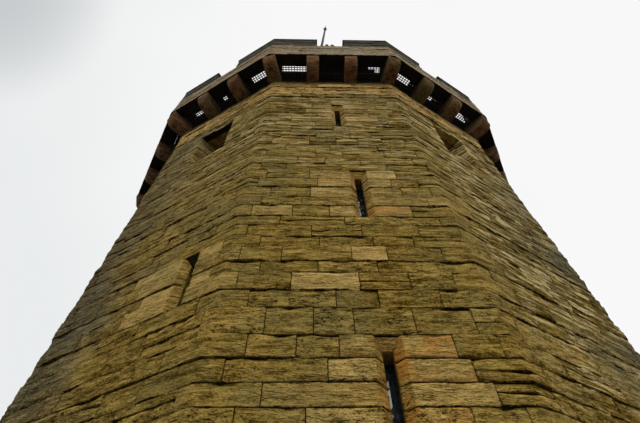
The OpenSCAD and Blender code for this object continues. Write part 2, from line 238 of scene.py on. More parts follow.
# Stones that stand out by their colour, as (face, to the right, height, how pale, how orange)
fresh_stones = [
    (0, 0.61, 8.95, 1.0, 0.15), (0, 0.51, 7.80, 0.7, 0.8), (0, 0.30, 6.85, 0.8, 0.45),
    (0, 0.61, 5.62, 0.5, 1.0), (0, 0.58, 5.40, 0.4, 0.9), (0, -1.10, 10.19, 0.7, 0.2),
    (0, -0.50, 6.62, 0.8, 0.1), (0, -0.95, 7.95, 0.5, 0.2), (11, -0.75, 12.03, 0.8, 0.1),
    (0, 0.20, 13.37, 1.0, 0.1), (1, -1.00, 8.17, 0.5, 0.1), (0, 0.75, 4.95, 0.3, 0.7),
]
# Loops and windows as (faces, place to the right, sill, head, mouth width, throat width, depth)
loop_faces = (0, 3, 6, 9)
window_faces = (1, 2, 4, 5, 7, 8, 10, 11)
openings = [
    (loop_faces, 0.27, 4.14, 5.74, 0.31, 0.11, 0.07),
    (loop_faces, 0.27, 7.76, 9.07, 0.31, 0.11, 0.07),
    (loop_faces, 0.06, 10.92, 12.14, 0.31, 0.11, 0.07),
    ((11,), 0.83, 6.35, 7.31, 0.31, 0.11, 0.07),
    (window_faces, 0.0, 10.92, 12.42, 1.00, 0.56, 0.6),
]
door_face = 6
door_half = 0.55
surround_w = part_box("door_surround")[1].x - door_half
surround_lap = 0.7
door_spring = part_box("door_surround")[1].z - door_half - surround_w
face_names = ["front", "front_right", "right_front", "right", "right_back", "back_right",
              "back", "back_left", "left_back", "left", "left_front", "front_left"]


def face_point(face, along, out):
    """A point on a face, this far to the right of its middle and this far from the axis."""
    a = face * turn
    return (math.cos(a) * along + math.sin(a) * out, math.sin(a) * along - math.cos(a) * out)


def course_runs(radius, gaps):
    """The runs of one course around the tower, broken at the throat of each opening in gaps."""
    runs, line = [], []
    for face in range(sides):
        if face in gaps:
            along, mouth, throat, depth = gaps[face]
            splays = [[face_point(face, along + side * mouth / 2, radius)] for side in (-1, 1)]
            if depth:
                splays[0].append(face_point(face, along - throat / 2, radius - depth))
                splays[1].insert(0, face_point(face, along + throat / 2, radius - depth))
            runs.append(line + splays[0])
            line = splays[1]
        line.append(face_point(face, radius * math.tan(turn / 2), radius))
    if not runs:
        return [line + line[:1]]
    runs[0] = line + runs[0]
    return runs


class Run:
    """A line of points that stones are laid along, measured by the distance along it."""

    def __init__(self, points, radius):
        self.points = np.array(points)
        step = np.diff(self.points, axis=0)
        size = np.hypot(step[:, 0], step[:, 1])
        self.at = np.concatenate([[0], np.cumsum(size)])
        self.out = np.column_stack([step[:, 1], -step[:, 0]]) / size[:, None]
        self.closed = np.allclose(self.points[0], self.points[-1])
        x, y = self.points.T
        away = np.hypot(x, y)
        self.mouths = self.at[abs(away * math.cos(turn / 2) - radius) > 0.001]
        face = np.round(np.arctan2(x, -y) / turn) * turn
        deep = x * np.sin(face) - y * np.cos(face) < radius - 0.001
        self.first = self.at[1] if deep[0] else 0
        self.last = self.at[-2] if deep[-1] else self.at[-1]

    def soft(self, s):
        """How far the softening of the nearest bend reaches: less at a mouth than at a corner."""
        near = np.min(abs(s[:, None] - self.mouths[None, :]), axis=1, initial=far)
        return np.where(near < mouth_reach, mouth_soft, corner_soft)

    def place(self, s):
        """Points and outward directions at these distances, softened and mitred at the bends."""
        soft = self.soft(s)
        spots, outs = 0, 0
        for shift in (-1, 0, 1):
            t = s + shift * soft
            t = np.mod(t, self.at[-1]) if self.closed else np.clip(t, 0, self.at[-1])
            spots = spots + np.column_stack([np.interp(t, self.at, self.points[:, i])
                                             for i in (0, 1)])
            leg = np.clip(np.searchsorted(self.at, t, side="right") - 1, 0, len(self.out) - 1)
            outs = outs + self.out[leg]
        return spots / 3, 3 * outs / (outs ** 2).sum(1)[:, None]

    def ease(self, s):
        """How far a stone stands out here: all of it on the faces, and less and less in a splay."""
        if self.closed:
            return np.ones_like(s)
        into = np.maximum((self.first - s) / max(self.first, 0.01),
                          (s - self.last) / max(self.at[-1] - self.last, 0.01))
        return np.clip(1 - into, in_splay, 1)

    def joints(self, rng, before, short, long):
        """Where the stones of this run meet, clear of the bends and of the joints below."""
        end = self.at[-1]
        found = [rng.uniform(0, long) if self.closed else 0.0]
        stop = found[0] + end if self.closed else end
        while True:
            for _ in range(joint_tries):
                s = found[-1] + rng.uniform(short, long)
                spot = self.place(np.array([s]))[0][0]
                bend = np.min(np.abs(self.at[1:-1] - s % end), initial=far)
                angle = math.atan2(spot[1], spot[0])
                below = min((abs(angle - b) for b in before), default=far)
                if bend > bend_clear and below * wall_r > joint_clear:
                    break
            if s > stop - short:
                return found + [stop]
            found.append(s)


class StoneMesh:
    """Collects the grids of many stones, with what the weathering tree and the material read."""

    def __init__(self):
        self.count = 0
        self.spots, self.faces, self.flat = [], [], []
        self.marks = {label: [] for label in
                      ("out", "weight", "proud", "side", "near", "stone", "pale", "orange")}

    def add(self, run, s0, s1, low, high, rng, taper, out, fresh, wear):
        """One stone from s0 to s1, between two lines of height that are functions of the angle."""
        g = joint_w / 2
        tall = high(0) - low(0)

        def ruler(start, end, cell):
            count = max(2, round((end - start - 2 * rim) / cell) + 1)
            inner = np.linspace(start + rim, end - rim, count)
            return np.concatenate([[start, start], inner, [end, end]])

        s = ruler(s0 + g, s1 - g, cell_along)
        bends = run.at[(run.at > s[2]) & (run.at < s[-3])]
        s = s[np.min(abs(s[:, None] - bends[None, :]), axis=1, initial=far) > corner_soft + rim]
        for bend, soft in zip(bends, run.soft(bends)):
            s = np.append(s, bend + np.outer((-1, 1), (0.3 * soft, 0.98 * soft, soft + 0.006)))
        s = np.sort(s)
        h = ruler(0, tall, cell_up)
        spots, outs = run.place(s)
        angle = np.arctan2(spots[:, 1], spots[:, 0])
        ragged = [sum(rng.uniform(0.2, 1) * np.sin(f * s + rng.uniform(0, 6.3))
                      for f in edge_waves) for _ in range(4)]
        bottom = low(angle) + g + edge_wave_h * np.abs(ragged[0])
        top = high(angle) - g - edge_wave_h * np.abs(ragged[1])
        v = (h / tall)[:, None]
        z = bottom[None, :] + v * (top - bottom)[None, :]
        ends = np.minimum(s - s[0], s[-1] - s)[None, :]
        under = h[:, None] * np.ones_like(ends)
        above = (tall - h)[:, None] * np.ones_like(ends)
        drop = (arris_d * np.clip(1.0 + ragged[2], 0.1, 3) * np.exp(-(under / rim) ** 2)
                + arris_d * np.clip(0.6 + ragged[3], 0.1, 3) * np.exp(-(above / rim) ** 2)
                + arris_d * rng.uniform(0.1, 0.9) * np.exp(-(ends / rim) ** 2))
        lean, swell = rng.uniform(-1, 1) * face_lean, rng.uniform(-face_dip, face_swell)
        depth = (out + wear * rng.uniform(-1, 1) * min(stone_out_spread, out / 2) - drop
                 + wear * (lean * (2 * v - 1) + swell * np.sin(math.pi * v)))
        ease = run.ease(s)[None, :]
        depth = depth * ease
        ring = np.zeros_like(depth, bool)
        ring[0], ring[-1], ring[:, 0], ring[:, -1] = True, True, True, True
        depth[ring] = -sunk
        scale = np.ones_like(z) if taper is None else taper(z)
        x = spots[None, :, 0] * scale + outs[None, :, 0] * depth
        y = spots[None, :, 1] * scale + outs[None, :, 1] * depth
        rows, columns = z.shape
        total = rows * columns
        index = self.count + np.arange(total).reshape(rows, columns)
        self.faces.append(np.stack([index[:-1, :-1], index[:-1, 1:], index[1:, 1:], index[1:, :-1]],
                                   axis=-1).reshape(-1, 4))
        side = np.zeros((rows - 1, columns - 1), bool)
        side[0], side[-1], side[:, 0], side[:, -1] = True, True, True, True
        self.flat.append(side.ravel())
        self.spots.append(np.stack([x, y, z], axis=-1).reshape(-1, 3))
        flat = np.broadcast_to(outs[None], (rows, columns, 2)).reshape(-1, 2)
        self.marks["out"].append(np.column_stack([flat, np.zeros(total)]))
        self.marks["weight"].append(np.where(ring, 0, wear * ease * np.ones_like(z)).ravel())
        self.marks["proud"].append(depth.ravel())
        self.marks["side"].append(ring.ravel())
        self.marks["near"].append(np.maximum(0, 1 - np.minimum(under, above) / joint_near).ravel())
        # Inside a splay a stone is painted darker and more orange, as shade on the splay faces.
        inside = np.broadcast_to(ease < 0.999, z.shape)
        for label, value in (("stone", rng.random()), ("pale", fresh[0] * (1 - 0.6 * inside)),
                             ("orange", fresh[1] + 0.5 * inside)):
            self.marks[label].append(np.broadcast_to(value, z.shape).ravel())
        self.count += total

    def make(self, name):
        """The collected stones as an object with its attributes, still without weathering."""
        mesh = bpy.data.meshes.new(name)
        spots, faces = np.concatenate(self.spots), np.concatenate(self.faces)
        mesh.vertices.add(len(spots))
        mesh.vertices.foreach_set("co", spots.astype(np.float32).ravel())
        mesh.loops.add(faces.size)
        mesh.loops.foreach_set("vertex_index", faces.astype(np.int32).ravel())
        mesh.polygons.add(len(faces))
        mesh.polygons.foreach_set("loop_start", np.arange(0, faces.size, 4, dtype=np.int32))
        mesh.update(calc_edges=True)
        mesh.polygons.foreach_set("use_smooth", ~np.concatenate(self.flat))
        for label, values in self.marks.items():
            kind, field = ("FLOAT_VECTOR", "vector") if label == "out" else ("FLOAT", "value")
            mesh.attributes.new(label, kind, "POINT").data.foreach_set(
                field, np.concatenate(values).astype(np.float32).ravel())
        piece = bpy.data.objects.new(name, mesh)
        scene.collection.objects.link(piece)
        return piece


def course_lines(marks, rng):
    """Levels of the course lines between fixed marks, each a function of the angle that waves."""
    lines = []
    for low, high in zip(marks[:-1], marks[1:]):
        count = max(1, round((high - low) / course_h))
        shares = np.array([rng.uniform(0.78, 1.25) for _ in range(count)])
        levels = low + np.concatenate([[0], np.cumsum(shares / shares.sum())[:-1]]) * (high - low)
        for i, z in enumerate(levels):
            size = wave_h if i else 0
            n, m = rng.randint(4, 9), rng.randint(10, 23)
            p, q = rng.uniform(0, 6.3), rng.uniform(0, 6.3)
            lines.append(lambda a, z=z, size=size, n=n, m=m, p=p, q=q: z + size * (
                np.sin(n * a + p) + 0.6 * np.sin(m * a + q) - math.sin(p) - 0.6 * math.sin(q)))
    lines.append(lambda a, z=marks[-1]: z + 0 * a)
    return lines


def new_group(name, kind, inputs, outputs):
    """A node group with these sockets: its wiring, what it is given and what it gives out."""
    tree = bpy.data.node_groups.new(name, kind)
    for label, socket_kind, value in inputs:
        socket = tree.interface.new_socket(label, in_out="INPUT",
                                           socket_type="NodeSocket" + socket_kind)
        if value is not None:
            socket.default_value = value
    for label, socket_kind in outputs:
        tree.interface.new_socket(label, in_out="OUTPUT", socket_type="NodeSocket" + socket_kind)
    wire = Wiring(tree)
    return wire, wire.add("NodeGroupInput").outputs, wire.add("NodeGroupOutput").inputs


def bedded_noise(wire, place, shift, across, up, detail, roughness=0.6, distortion=0.0):
    """Noise with one scale along the beds of the stone and another one up through them."""
    spot = wire.add("ShaderNodeCombineXYZ", {
        "X": wire.plus(wire.times(place["X"], across), shift),
        "Y": wire.times(place["Y"], across), "Z": wire.times(place["Z"], up)})
    return wire.add("ShaderNodeTexNoise", {
        "Vector": spot.outputs[0], "Scale": 1.0, "Detail": detail, "Roughness": roughness,
        "Distortion": distortion}).outputs[0]


def weather_tree():
    """A Geometry Nodes tree that wears stones along their out directions: beds and hollows."""
    wire, given, result = new_group("worn sandstone", "GeometryNodeTree", (
        ("Geometry", "Geometry", None), ("Layers per metre", "Float", 15.0),
        ("Layer depth", "Float", 0.018), ("Hollows per metre", "Float", 2.8),
        ("Hollow depth", "Float", 0.018), ("Cavity depth", "Float", 0.034),
        ("Seed", "Float", 1.0), ("Material", "Material", None),
    ), [("Geometry", "Geometry")])
    add, plus, minus, times, most, ramp = (
        wire.add, wire.plus, wire.minus, wire.times, wire.most, wire.ramp)

    def named(label, kind="FLOAT"):
        return add("GeometryNodeInputNamedAttribute", {"Name": label},
                   data_type=kind).outputs["Attribute"]

    place = wire.split(add("GeometryNodeInputPosition").outputs[0])
    shift = plus(times(named("stone"), 43.0), given["Seed"])
    layers = bedded_noise(wire, place, shift, 1.9, given["Layers per metre"], 3.0, 0.65)
    hollows = given["Hollows per metre"]
    hollow = ramp(bedded_noise(wire, place, shift, hollows, times(hollows, 3.0), 4.0, 0.65),
                  0.54, 0.70)
    eaten = ramp(bedded_noise(wire, place, shift, 3.1, 5.0, 2.0), 0.54, 0.64)
    cavity = times(ramp(named("near"), 0.0, 1.0), eaten)
    depth = minus(times(times(minus(layers, 0.5), 3.2), given["Layer depth"]),
                  times(hollow, given["Hollow depth"]))
    depth = most(depth, minus(worn_back_to, named("proud")))
    depth = minus(depth, times(cavity, given["Cavity depth"]))
    depth = most(depth, minus(eaten_back_to, named("proud")))
    push = add("ShaderNodeVectorMath", {
        0: named("out", "FLOAT_VECTOR"), "Scale": times(depth, named("weight"))}, operation="SCALE")
    move = add("GeometryNodeSetPosition", {
        "Geometry": given["Geometry"], "Offset": push.outputs[0]})
    # The worn value marks hollows, cavities, low beds and the sunk rim of each stone. The material
    # paints it dark: painted shade in these recesses, and dark joints at the rim.
    worn = plus(times(hollow, 0.40), times(cavity, 0.9))
    worn = plus(plus(worn, times(minus(0.5, layers), 2.4)), named("side"))
    store = add("GeometryNodeStoreNamedAttribute", {
        "Geometry": move.outputs[0], "Name": "worn", "Value": worn},
        data_type="FLOAT", domain="POINT")
    real = add("GeometryNodeRealizeInstances", {0: store.outputs[0]})
    paint = add("GeometryNodeSetMaterial", {
        "Geometry": real.outputs[0], "Material": given["Material"]})
    wire.give(result[0], paint.outputs[0])
    return wire.tree


worn_stone = weather_tree()


def weather(piece, material, **values):
    """Runs the weathering on a stone object and leaves it as a plain mesh."""
    modifier = piece.modifiers.new("weather", "NODES")
    modifier.node_group = worn_stone
    for item in worn_stone.interface.items_tree:
        if item.item_type == "SOCKET" and item.in_out == "INPUT":
            if item.name in values:
                modifier[item.identifier] = values[item.name]
            if item.name == "Material":
                modifier[item.identifier] = material
    bpy.context.view_layer.update()
    graph = bpy.context.evaluated_depsgraph_get()
    done = bpy.data.meshes.new_from_object(piece.evaluated_get(graph))
    piece.modifiers.remove(modifier)
    old, piece.data = piece.data, done
    bpy.data.meshes.remove(old)
    return piece


grime_dark = (0.026, 0.025, 0.018, 1)
grime_light = (0.104, 0.099, 0.068, 1)
# Almost black: painted shade in pits, hollows and cracks, and the dark of the joints
shade_and_joint_black = (0.018, 0.009, 0.0003, 1)
# Near black: soot, and painted shade under the parapet
soot_and_shade_black = (0.0055, 0.006, 0.0075, 1)


def sandstone_group():
    """Colour, roughness and relief of bedded sandstone, for the materials of all the stonework."""
    wire, given, result = new_group("bedded sandstone", "ShaderNodeTree", (
        ("Light", "Color", (0.3, 0.2, 0.07, 1)), ("Dark", "Color", (0.08, 0.05, 0.01, 1)),
        ("Fresh", "Color", (0.42, 0.29, 0.11, 1)), ("Rust", "Color", (0.3, 0.13, 0.03, 1)),
        ("Lichen", "Color", (0.14, 0.14, 0.08, 1)), ("Bed highlight", "Color", (0.53, 0.415, 0.20, 1)),
        ("Stone", "Float", 0.5), ("Worn", "Float", 0.2), ("Near", "Float", 0.0),
        ("Pale", "Float", 0.0), ("Orange", "Float", 0.0), ("Rust share", "Float", 0.10),
        ("Lichen share", "Float", 0.5), ("Soot", "Float", 0.0), ("Side grime", "Float", 0.0),
        ("Exposed beds", "Float", 0.0),
    ), (("Color", "Color"), ("Roughness", "Float"), ("Height", "Float")))
    plus, minus, times, most, ramp, mix = (
        wire.plus, wire.minus, wire.times, wire.most, wire.ramp, wire.mix)
    place = wire.split(wire.add("ShaderNodeTexCoord").outputs["Object"])
    up = place["Z"]
    shift = times(given["Stone"], 31.0)

    def noise(*scales, **more):
        return bedded_noise(wire, place, shift, *scales, **more)

    # Each stone has its own tone, and beds, flakes, grain, ledges and cracks of its own.
    pick = wire.add("ShaderNodeTexWhiteNoise", {"W": given["Stone"]}, noise_dimensions="1D")
    tone = wire.add("ShaderNodeSeparateColor", {0: pick.outputs["Color"]}).outputs
    strata = noise(3.6, 24.0, 5.0, 0.70, distortion=0.15)
    flakes = noise(9.0, 27.0, 4.0, 0.72, distortion=0.15)
    grain = noise(38.0, 50.0, 2.0, 0.8)
    cleft = noise(1.2, 10.0, 3.0, 0.55, distortion=0.3)
    ledges = noise(2.8, 11.0, 4.0, 0.58, distortion=0.3)
    steps = plus(times(ramp(ledges, 0.40, 0.47), 0.6), times(ramp(ledges, 0.52, 0.57), 0.4))
    patches = bedded_noise(wire, place, 0.0, 0.55, 0.8, 6.0, 0.62)
    stains = noise(1.7, 2.6, 6.0)
    eroded = plus(0.15, times(ramp(tone["Blue"], 0.35, 1.0), 0.7))
    base = plus(times(strata, minus(1.0, eroded)), times(flakes, eroded))
    height = plus(plus(times(base, 0.52), times(flakes, 0.20)), times(grain, 0.28))
    crack = ramp(wire.math("ABSOLUTE", minus(cleft, 0.5)), 0.016, 0.004)
    crack = times(crack, ramp(flakes, 0.46, 0.54))

    # The stone's own colour, painted lighter on the raised parts of its relief as highlights, with
    # fresher, paler and rusty stones among the others.
    lit = plus(times(ramp(height, 0.44, 0.58), 0.62), times(tone["Red"], 0.32))
    lit = plus(lit, times(minus(patches, 0.48), 0.9))
    lit = plus(lit, times(minus(steps, 0.4), 0.30))
    colour = mix(lit, given["Dark"], given["Light"])
    fresh = mix(ramp(height, 0.30, 0.60), given["Light"], given["Fresh"])
    # The Fresh colour also lays painted highlights on the highest parts of the relief.
    colour = mix(times(ramp(height, 0.56, 0.66), 0.55), colour, given["Fresh"])
    colour = mix(times(given["Pale"], 0.75), colour, fresh)
    chance = times(ramp(tone["Green"], 0.84, 0.95), given["Rust share"])
    rust = times(ramp(stains, 0.42, 0.62), plus(given["Orange"], chance))
    colour = mix(wire.math("MULTIPLY", rust, 0.6, clamp=True), colour, given["Rust"])

    # High up and on the right, some beds are painted paler as highlights on their tops, and others
    # darker as shade between them.
    beds = noise(1.5, 17.0, 4.0, 0.62, distortion=0.2)
    right_side = times(ramp(place["X"], 1.5, 2.3), ramp(up, 3.5, 8.0))
    bed_light_and_shade = times(most(right_side, times(ramp(up, 7.0, 11.0), 0.6)), given["Exposed beds"])
    colour = mix(times(ramp(beds, 0.51, 0.58), bed_light_and_shade), colour, given["Bed highlight"])
    colour = mix(times(ramp(beds, 0.485, 0.43), bed_light_and_shade), colour, given["Dark"])

    # Lichen in patches, and grime on the sides that rain doesn't wash.
    lichen = ramp(plus(patches, times(stains, 0.5)), 0.68, 0.92)
    colour = mix(times(lichen, given["Lichen share"]), colour, given["Lichen"])
    aside = most(times(place["X"], 0.92), times(place["X"], -1.12))
    sideways = ramp(plus(aside, times(minus(patches, 0.5), 5.0)), 2.6, 4.6)
    sideways = times(sideways, plus(0.5, ramp(aside, 5.6, 4.4)))
    washed = minus(1.0, times(ramp(up, 7.5, 10.5), 0.5))
    grime = times(times(sideways, washed), given["Side grime"])
    colour = mix(grime, colour, mix(lit, grime_dark, grime_light))
    colour = mix(times(ramp(noise(5.5, 9.0, 5.0, 0.72), 0.50, 0.68), 0.45), colour, given["Dark"])

    # Pits, hollows, cracks and the worn recesses are painted almost black as shade, and the ragged
    # joints are dark.
    pit = plus(ramp(height, 0.470, 0.415), times(ramp(grain, 0.44, 0.30), 0.5))
    rough = plus(0.35, times(eroded, 0.75))
    rough = wire.math("SUBTRACT", rough, times(given["Pale"], 0.4), clamp=True)
    dark = plus(times(pit, rough), times(ramp(given["Worn"], 0.25, 1.1), 0.75))
    dark = wire.math("ADD", dark, times(crack, 0.6), clamp=True)
    ragged = times(minus(noise(10.0, 16.0, 3.0, 0.7), 0.5), 1.6)
    edge = ramp(plus(given["Near"], ragged), 0.92, 1.12)
    colour = mix(most(dark, times(edge, 0.9)), colour, shade_and_joint_black)
    # The soot input darkens towards near black: soot, and where it is strong, painted shade under
    # the parapet.
    colour = mix(given["Soot"], colour, soot_and_shade_black)
    wire.give(result["Color"], colour)
    wire.give(result["Roughness"], plus(0.80, times(flakes, 0.2)))
    wire.give(result["Height"], minus(plus(height, times(steps, 0.40)), times(crack, 0.2)))
    return wire.tree


sandstone = sandstone_group()


def stone_material(name, bump=0.07, **values):
    """A stone finish: the sandstone group with its own colours, on a rough shader with relief."""
    material = bpy.data.materials.new(name)
    material.use_nodes = True
    wire = Wiring(material.node_tree)
    shader = wire.tree.nodes["Principled BSDF"].inputs
    shader["Specular IOR Level"].default_value = 0.03
    given = {label.replace("_", " "): value for label, value in values.items()}
    for label in ("Stone", "Worn", "Near", "Pale", "Orange"):
        given[label] = wire.add("ShaderNodeAttribute", attribute_name=label.lower()).outputs["Fac"]
    group = wire.add("ShaderNodeGroup", node_tree=sandstone)
    for label, value in given.items():
        wire.give(group.inputs[label], value)
    relief = wire.add("ShaderNodeBump", {"Strength": 1.0, "Distance": bump,
                                         "Height": group.outputs["Height"]})
    wire.give(shader["Normal"], relief.outputs[0])
    wire.give(shader["Base Color"], group.outputs["Color"])
    wire.give(shader["Roughness"], group.outputs["Roughness"])
    return material


def stone_parts(material):
    """A stone material's wiring, its sandstone group and the inputs of its shader."""
    nodes = material.node_tree.nodes
    group = next(node for node in nodes if node.bl_idname == "ShaderNodeGroup")
    return Wiring(material.node_tree), group, nodes["Principled BSDF"].inputs


def lay_stones(radius, lines, gaps_at, rng, short=stone_short, long=stone_long, taper=None,
               out=stone_out):
    """Lays courses between the lines and gives the stones of each face as one mesh."""
    meshes = [StoneMesh() for _ in range(sides)]
    course_rng = random.Random(7)
    before = []
    for low, high in zip(lines[:-1], lines[1:]):
        angles = []
        course_out = out * course_rng.uniform(1 - course_out_share, 1 + course_out_share)
        for points in course_runs(radius, gaps_at((low(0) + high(0)) / 2)):
            run = Run(points, radius)
            cuts = run.joints(rng, before, short, long)
            for s0, s1 in zip(cuts[:-1], cuts[1:]):
                start, middle = run.place(np.array([s0, (s0 + s1) / 2]))[0]
                face = round(math.atan2(middle[0], -middle[1]) / turn) % sides
                angles.append(math.atan2(start[1], start[0]))
                right = middle[0] * math.cos(face * turn) + middle[1] * math.sin(face * turn)
                fresh = next(((pale, orange) for at, along, z, pale, orange in fresh_stones
                              if at == face and abs(along - right) < (s1 - s0) / 2
                              and low(0) < z < high(0)), (0, 0))
                dressed = not run.closed and taper is None and radius == wall_r and (
                    s0 == 0 or s1 == run.at[-1])
                wear = dressed_wear if dressed else 1
                if dressed and fresh == (0, 0):
                    fresh = rng.uniform(0.1, 0.8), max(0, rng.uniform(-1, 0.5))
                beds = [low, high]
                if (rng.random() < thin_bed_share and high(0) - low(0) > thin_bed_from
                        and fresh == (0, 0)):
                    share = rng.uniform(0.4, 0.6)
                    beds.insert(1, lambda a, low=low, high=high, share=share: (
                        low(a) + share * (high(a) - low(a))))
                for bed, top in zip(beds[:-1], beds[1:]):
                    meshes[face].add(run, s0, s1, bed, top, rng, taper, course_out, fresh, wear)
        before = angles
    return meshes


def door_gaps(z):
    """The gap that a course at this height leaves for the doorway, ending under its surround."""
    rise = max(0, z + course_h / 2 - door_spring)
    half = math.sqrt(max(0, (door_half + surround_w * surround_lap) ** 2 - rise ** 2))
    return {door_face: (0, 2 * half, 2 * half, 0)} if half and z < door_spring + door_half else {}


def wall_gaps(z):
    """The openings that a course at this height meets, by face."""
    return door_gaps(z) | {face: (along, mouth, throat, depth)
                           for faces, along, sill, head, mouth, throat, depth in openings
                           if sill < z < head for face in faces}


wall_colours = dict(Light=(0.340, 0.224, 0.052, 1), Dark=(0.070, 0.040, 0.001, 1),
                    Fresh=(0.575, 0.390, 0.135, 1), Rust=(0.370, 0.140, 0.022, 1),
                    Lichen=(0.130, 0.112, 0.040, 1))
wall_stone = stone_material("wall sandstone", Side_grime=0.5, Exposed_beds=0.95, **wall_colours)
wall_rng = random.Random(12)
levels = {plinth_top, band_z, door_spring + door_half}
for faces, along, sill, head, mouth, throat, depth in openings:
    levels |= {sill, head}
wall_lines = course_lines(sorted(levels), wall_rng)
for face, stones in enumerate(lay_stones(wall_r, wall_lines, wall_gaps, wall_rng)):
    piece = weather(stones.make(face_names[face] + "_wall_stones"), wall_stone)
    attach(piece, "root")

# Behind the blocks is the wall itself: dark mortar and rubble in the joints, and dressed stone
# on the soffits, sills and inner splays of the openings.
mortar_depth = 0.004
mortar_colour = (0.014, 0.009, 0.002, 1)
head_depth = 0.14
head_fade = 0.03


def face_place_group():
    """Where a point lies on the tower: right of the middle of its face, and out from the axis."""
    wire, _, result = new_group("place on the face", "ShaderNodeTree", (), [
        (label, "Float") for label in ("Right", "Out", "Up")])
    plus, minus, times = wire.plus, wire.minus, wire.times
    place = wire.split(wire.add("ShaderNodeTexCoord").outputs["Object"])
    x, y = place["X"], place["Y"]
    angle = wire.math("ARCTAN2", x, times(y, -1.0))
    face = times(wire.math("ROUND", wire.math("DIVIDE", angle, turn)), turn)
    sine, cosine = wire.math("SINE", face), wire.math("COSINE", face)
    wire.give(result["Right"], plus(times(x, cosine), times(y, sine)))
    wire.give(result["Out"], minus(times(x, sine), times(y, cosine)))
    wire.give(result["Up"], place["Z"])
    return wire.tree


face_place = face_place_group()


def core_material(name, head_blend, head_colour):
    """Mortar on the outer face of the wall, plain stone behind it, and the heads of the splays."""
    material = stone_material(name, **wall_colours)
    wire, group, shader = stone_parts(material)
    out = wire.add("ShaderNodeGroup", node_tree=face_place).outputs["Out"]
    normal = wire.split(wire.add("ShaderNodeNewGeometry").outputs["True Normal"])
    splay_r = wall_r - head_depth
    head = wire.times(wire.ramp(out, splay_r - head_fade, splay_r + head_fade, kind="LINEAR"),
                      wire.math("LESS_THAN", normal["Z"], -0.3))
    colour = wire.mix(head, group.outputs["Color"], head_colour, head_blend)
    outer = wire.math("GREATER_THAN", out, wall_r - mortar_depth)
    wire.give(shader["Base Color"], wire.mix(outer, colour, mortar_colour))
    return material


def dress(material, *nodes):
    """Gives CAD nodes a finish."""
    for node in nodes:
        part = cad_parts[node]
        part.data.materials.clear()
        part.data.materials.append(material)


wall_core = core_material("wall core", "ADD", (0.13, 0.070, 0.019, 1))
dress(wall_core, *[name + "_wall" for name in face_names])
# On this wall the soffit under the short loop's head is painted black as shade.
dress(core_material("wall core with shaded loop head", "MIX", (0.012, 0.008, 0.003, 1)), "front_left_wall")
dress(wall_core, "band_course", "plinth")

# The foot of the tower is a battered plinth of the same stone, in courses that lean back until
# they meet the wall above. It is darker and damp from the ground.
plinth_r = -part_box("plinth")[0].y
foot_stone = stone_material(
    "plinth sandstone", Light=(0.19, 0.135, 0.045, 1), Dark=(0.06, 0.042, 0.012, 1),
    Fresh=(0.3, 0.21, 0.08, 1), Rust=(0.22, 0.1, 0.03, 1), Lichen=(0.09, 0.09, 0.045, 1),
    Lichen_share=0.8)
foot_rng = random.Random(5)
foot_lines = course_lines([0.0, plinth_top], foot_rng)


def batter(z):
    """How much further out than the wall the plinth stands at these heights."""
    return 1 + (plinth_r / wall_r - 1) * np.clip(1 - z / plinth_top, 0, 1)


for face, stones in enumerate(lay_stones(wall_r, foot_lines, door_gaps, foot_rng, taper=batter)):
    piece = weather(stones.make(face_names[face] + "_plinth_stones"), foot_stone)
    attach(piece, "root")

# Under the corbels runs a band of four paler courses, a little proud of the wall. Damp and soot
# have darkened its top, and it is painted darker still as the shade under the parapet.
band_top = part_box("band_course")[1].z
band_r = -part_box("band_course")[0].y
band_stone = stone_material(
    "band sandstone", Light=(0.68, 0.45, 0.155, 1), Dark=(0.125, 0.074, 0.012, 1),
    Fresh=(0.52, 0.38, 0.15, 1), Rust=(0.32, 0.13, 0.035, 1), Lichen=(0.16, 0.14, 0.075, 1),
    Rust_share=1.5, Lichen_share=0.35)
soot_shade_low = band_top - 0.40
soot_shade_high = band_top + 0.05
soot_shade_most = 0.85
wire, group, _ = stone_parts(band_stone)
height = wire.split(wire.add("ShaderNodeTexCoord").outputs["Object"])["Z"]
wire.give(group.inputs["Soot"], wire.ramp(height, soot_shade_low, soot_shade_high, to_high=soot_shade_most))
band_rng = random.Random(8)
band_lines = course_lines([band_z, band_top], band_rng)


def no_gaps(z):
    """A course without any opening."""
    return {}


for face, stones in enumerate(lay_stones(band_r, band_lines, no_gaps, band_rng)):
    piece = weather(stones.make(face_names[face] + "_band_stones"), band_stone)
    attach(piece, "root")

# The corbels are single blocks of red-brown sandstone with a rounded underside, each of its own
# tone and with its own share of lichen. Their tails are built into the wall.
corbels_a_face = 3
corbel_stone = stone_material(
    "corbel sandstone", Light=(0.250, 0.130, 0.062, 1), Dark=(0.065, 0.034, 0.014, 1),
    Fresh=(0.33, 0.17, 0.085, 1), Rust=(0.22, 0.08, 0.03, 1), Lichen=(0.10, 0.078, 0.024, 1),
    Lichen_share=0.8, Side_grime=0.4)
wire, group, _ = stone_parts(corbel_stone)
place = wire.split(wire.add("ShaderNodeTexCoord").outputs["Object"])
bearing = wire.math("ARCTAN2", place["Y"], place["X"])
number = wire.math("FLOOR", wire.math("DIVIDE", bearing, turn / corbels_a_face))
lot = wire.add("ShaderNodeTexWhiteNoise", {"W": number}, noise_dimensions="1D").outputs
shares = wire.add("ShaderNodeSeparateColor", {0: lot["Color"]}).outputs
wire.give(group.inputs["Stone"], lot["Value"])
for channel, label, low, high in (("Red", "Lichen share", -0.3, 1.6),
                                  ("Blue", "Orange", -0.8, 0.9)):
    share = wire.ramp(shares[channel], 0.0, 1.0, low, high, kind="LINEAR")
    wire.give(group.inputs[label], wire.most(share, 0.0))
dress(corbel_stone, "front_corbels", "right_corbels", "back_corbels", "left_corbels")

